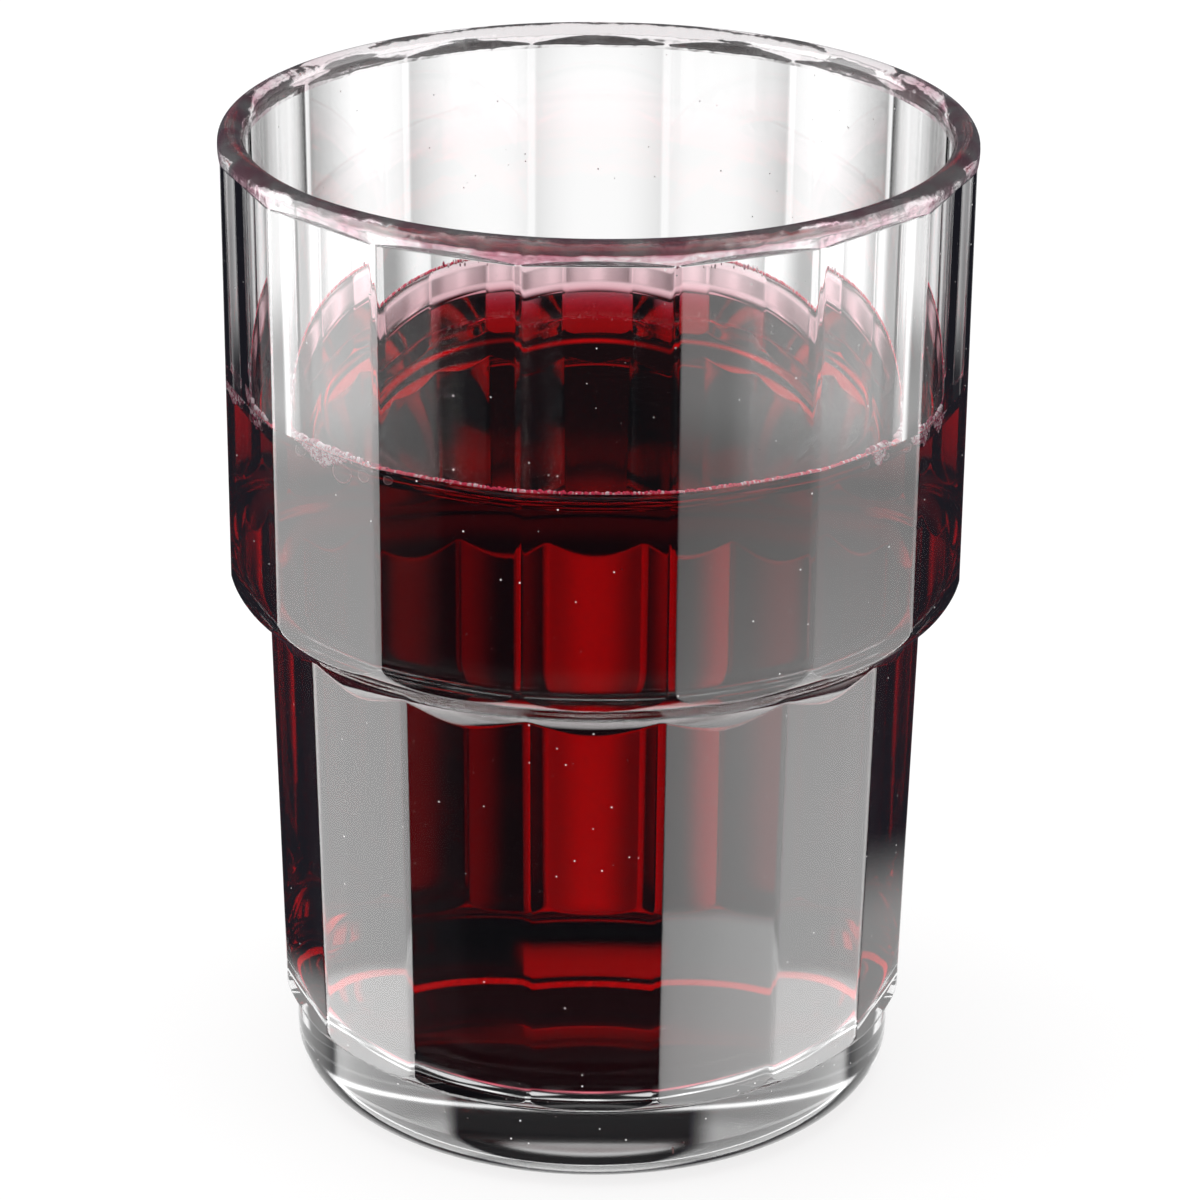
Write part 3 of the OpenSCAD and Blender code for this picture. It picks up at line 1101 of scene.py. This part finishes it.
# %% [markdown]
# ## Floor
#
# The floor is white to the camera and keeps the soft shadow of the glass. Most rays from inside the
# glass pass through it to the studio, as if the glass stood on a narrow plinth. Three places differ.
# A bright glowing patch, painted light, lies behind the glass and one under it, which show as red
# windows low in the juice. A dark one behind the heel is a painted shadow where glass and floor
# meet. Rays that graze the heel or the lowest flats see the white floor close by, which gives the
# foot its light edge.

# %% What the floor shows to glass
BACK_GLOW = 0.92
BACK_R = 32 * MM
BACK_CLIMB = (58 * MM, 63 * MM)
BACK_SLOPES = (0.36, 0.42)
UNDER_GLOW = 0.75
UNDER_R = (34 * MM, 30 * MM)
UNDER_HALF = (15 * MM, 7 * MM)
UNDER_TURNS = (0.16, 0.11)
UNDER_BACK = (8 * MM, 16 * MM)
SHADOW_CLIMB = (7 * MM, 4 * MM)
SHADOW_REACH = (110 * MM, 90 * MM)
GLEAM_REACH = (46 * MM, 38 * MM)
GLEAM_RIGHT = (70 * MM, 50 * MM)
GLEAM_FROM = (10 * MM, 20 * MM)
GLEAM_WAYS = (-0.3, -0.6)


def bent_floor(board, place, reach, way, bent):
    """What bent rays see: two painted bright patches, a painted shadow, and the studio through the
    rest.
    """
    y = place.beside("Y")
    rise = way.beside("Z")
    climb = (reach - BACK_R) * rise / rise.maths("SQRT", 1 - rise * rise)
    behind = ramp(y, 0, BACK_R)
    # Painted light: glowing patches behind and under the glass, for bent rays only.
    lit = ramp(climb, *BACK_CLIMB) * ramp(rise, *BACK_SLOPES) * behind
    aside = place.maths("ABSOLUTE", place)
    straight = ramp(way.maths("ABSOLUTE", way), *UNDER_TURNS)
    under = ramp(reach, *UNDER_R) * ramp(aside, *UNDER_HALF) * ramp(y, *UNDER_BACK) * straight
    # Painted shadow: a dark patch just behind the heel, for bent rays only.
    shadow = ramp(climb, *SHADOW_CLIMB) * behind * ramp(reach, *SHADOW_REACH)
    level = lit * BACK_GLOW + under * UNDER_GLOW
    patches = board.add("ShaderNodeEmission", None, {"Color": WHITE, "Strength": level})
    clear = board.add("ShaderNodeBsdfTransparent", None, {"Color": WHITE})
    share = rise.maths("MINIMUM", lit + under + shadow, 1) * bent
    return board.add("ShaderNodeMixShader", None, {0: share, 1: clear, 2: patches})


def gleam_share(place, reach, way, mirrored):
    """Where mirrored rays that go away from the front see the white floor close by."""
    right = ramp(reach, *GLEAM_RIGHT) * ramp(place, *GLEAM_FROM)
    near = reach.maths("MAXIMUM", ramp(reach, *GLEAM_REACH), right)
    return near * ramp(way.beside("Y"), *GLEAM_WAYS) * mirrored


print("bright patch behind the glass from", round(BACK_R / MM), "mm")

# %% Floor
FLOOR_HALF = 4
FLOOR_CORNERS = ((-1, -1), (1, -1), (1, 1), (-1, 1))
FLOOR_GLOW = 0.8


def floor_finish():
    """White to the camera, and to the glass what the functions above give."""
    material = bpy.data.materials.new("pale_floor")
    board = Board(material)
    matt = board.add("ShaderNodeBsdfDiffuse", None, {"Color": WHITE})
    glow = board.add("ShaderNodeEmission", None, {"Color": WHITE})
    pale = board.add("ShaderNodeMixShader", None, {0: FLOOR_GLOW, 1: matt, 2: glow})
    camera = board.add("ShaderNodeLightPath", None, None, "Is Camera Ray")
    bent = camera.beside("Is Transmission Ray")
    mirrored = camera.beside("Is Glossy Ray") * (1 - bent)
    spot = board.add("ShaderNodeNewGeometry", None, None, "Position")
    place = board.add("ShaderNodeSeparateXYZ", None, {0: spot}, "X")
    reach = board.add("ShaderNodeVectorMath", {"operation": "LENGTH"}, {0: spot}, "Value")
    way = board.add("ShaderNodeSeparateXYZ", None, {0: spot.beside("Incoming")}, "X")
    through = bent_floor(board, place, reach, way, bent)
    gleam = gleam_share(place, reach, way, mirrored)
    to_glass = board.add("ShaderNodeMixShader", None, {0: gleam, 1: through, 2: glow})
    shown = board.add("ShaderNodeMixShader", None, {0: camera, 1: to_glass, 2: pale})
    board.add("ShaderNodeOutputMaterial", None, {"Surface": shown})
    return material


def lay_floor():
    """A wide flat floor at the height that the glass stands on."""
    mesh = bpy.data.meshes.new("floor")
    corners = [(x * FLOOR_HALF, y * FLOOR_HALF, 0) for x, y in FLOOR_CORNERS]
    mesh.from_pydata(corners, [], [(0, 1, 2, 3)])
    mesh.materials.append(floor_finish())
    floor = bpy.data.objects.new("floor", mesh)
    bpy.context.scene.collection.objects.link(floor)
    return floor


floor = lay_floor()
print("floor laid with", len(floor.data.vertices), "corners")

# %% [markdown]
# ## Lamp
#
# One large lamp overhead gives the shadow on the floor its direction. A small lamp would make it
# hard, and a sun lamp would light the whole floor evenly. The glass doesn't mirror or bend the
# lamp, because the studio already holds all that the glass should show.

# %% Lamp
LAMP_SIZE = 1.2
LAMP_HEIGHT = 1.5
LAMP_WATTS = 14


def hang_lamp():
    """One large soft lamp overhead, which the glass doesn't mirror."""
    data = bpy.data.lights.new("overhead_lamp", "AREA")
    data.size = LAMP_SIZE
    data.energy = LAMP_WATTS
    lamp = bpy.data.objects.new("overhead_lamp", data)
    lamp.location = (0, 0, LAMP_HEIGHT)
    lamp.visible_glossy = False
    lamp.visible_transmission = False
    bpy.context.scene.collection.objects.link(lamp)
    return lamp


hang_lamp()
bpy.context.scene.view_settings.view_transform = "Standard"
print("lamp hung at", LAMP_HEIGHT, "m")
